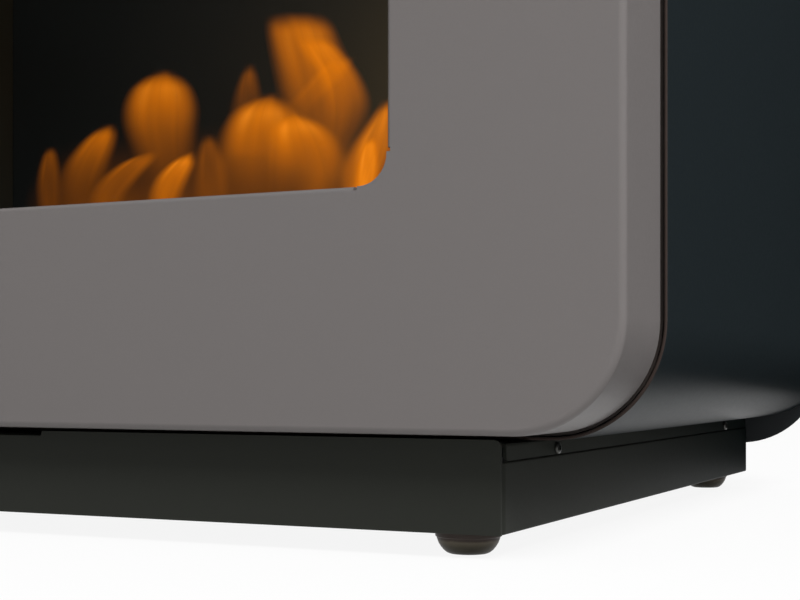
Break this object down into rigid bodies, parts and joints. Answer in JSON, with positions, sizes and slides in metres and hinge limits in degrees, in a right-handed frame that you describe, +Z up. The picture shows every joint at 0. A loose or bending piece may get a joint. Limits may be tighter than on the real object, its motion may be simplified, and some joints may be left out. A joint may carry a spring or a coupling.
{
  "type": "bioethanol fireplace",
  "caption": "Free-standing bioethanol fireplace: rounded steel body, deep painted front frame, low plinth on rubber feet, lift-out burner with a sliding regulator lid.",
  "frame": {"origin": "on the floor under the middle of the overall box, screw heads at the rear included", "axes": "+Z up, -Y towards the viewer of the front frame, +X to that viewer's right"},
  "size_m": [0.502, 0.3652, 0.5418],
  "materials": {
    "frame_paint": "satin taupe grey paint",
    "casing_paint": "satin anthracite paint with a bluish tint",
    "plinth_paint": "satin anthracite paint with a fine grain",
    "heatproof_black": "matt heatproof black paint",
    "burner_steel": "brushed stainless steel, heat tinted",
    "zinc_steel": "zinc plated",
    "black_screw": "blackened steel",
    "ceramic": "porous off-white ceramic fibre",
    "rubber": "translucent brown rubber"
  },
  "bodies": {
    "fireplace_body": {"plinth_side_right": "plinth_paint", "plinth_side_left": "plinth_paint", "plinth_rear": "plinth_paint", "plinth_front_cover": "plinth_paint", "plinth_top": "plinth_paint", "foot_front_left": "rubber", "foot_front_right": "rubber", "foot_rear_left": "rubber", "foot_rear_right": "rubber", "foot_screw_front_left": "zinc_steel", "foot_screw_front_right": "zinc_steel", "foot_screw_rear_left": "zinc_steel", "foot_screw_rear_right": "zinc_steel", "plinth_screw_front_left": "black_screw", "plinth_screw_rear_left": "black_screw", "plinth_screw_front_right": "black_screw", "plinth_screw_rear_right": "black_screw", "outer_casing": "casing_paint", "body_bolt_front_left": "zinc_steel", "body_bolt_front_right": "zinc_steel", "body_bolt_rear_left": "zinc_steel", "body_bolt_rear_right": "zinc_steel", "rear_panel": "casing_paint", "rear_panel_screw_1": "black_screw", "rear_panel_screw_2": "black_screw", "rear_panel_screw_3": "black_screw", "rear_panel_screw_4": "black_screw", "rear_panel_screw_5": "black_screw", "rear_panel_screw_6": "black_screw", "front_frame": "frame_paint", "frame_bracket_right": "heatproof_black", "frame_bracket_top": "heatproof_black", "frame_bracket_left": "heatproof_black", "frame_bracket_bottom": "heatproof_black", "frame_screw_right": "black_screw", "frame_screw_top": "black_screw", "frame_screw_left": "black_screw", "frame_screw_bottom": "black_screw", "front_mask": "heatproof_black", "firebox_floor": "heatproof_black", "firebox_side_right": "heatproof_black", "firebox_side_left": "heatproof_black", "firebox_back": "heatproof_black", "firebox_ceiling": "heatproof_black", "floor_support_left": "heatproof_black", "floor_support_right": "heatproof_black", "ceiling_stay_left": "heatproof_black", "ceiling_stay_right": "heatproof_black"},
    "burner_insert": {"burner_tank": "burner_steel", "ceramic_block": "ceramic", "burner_top_plate": "burner_steel", "lid_guide_right": "burner_steel", "lid_guide_left": "burner_steel", "guide_screw_1": "zinc_steel", "guide_screw_2": "zinc_steel", "guide_screw_3": "zinc_steel", "guide_screw_4": "zinc_steel"},
    "regulator": {"regulator_lid": "burner_steel"}
  },
  "joints": [
    {"name": "burner_lift", "type": "slide", "parent": "fireplace_body", "child": "burner_insert", "axis": [0, 0, 1], "range_m": [0, 0.09]},
    {"name": "regulator_slide", "type": "slide", "parent": "burner_insert", "child": "regulator", "axis": [0, -1, 0], "range_m": [0, 0.056]}
  ]
}
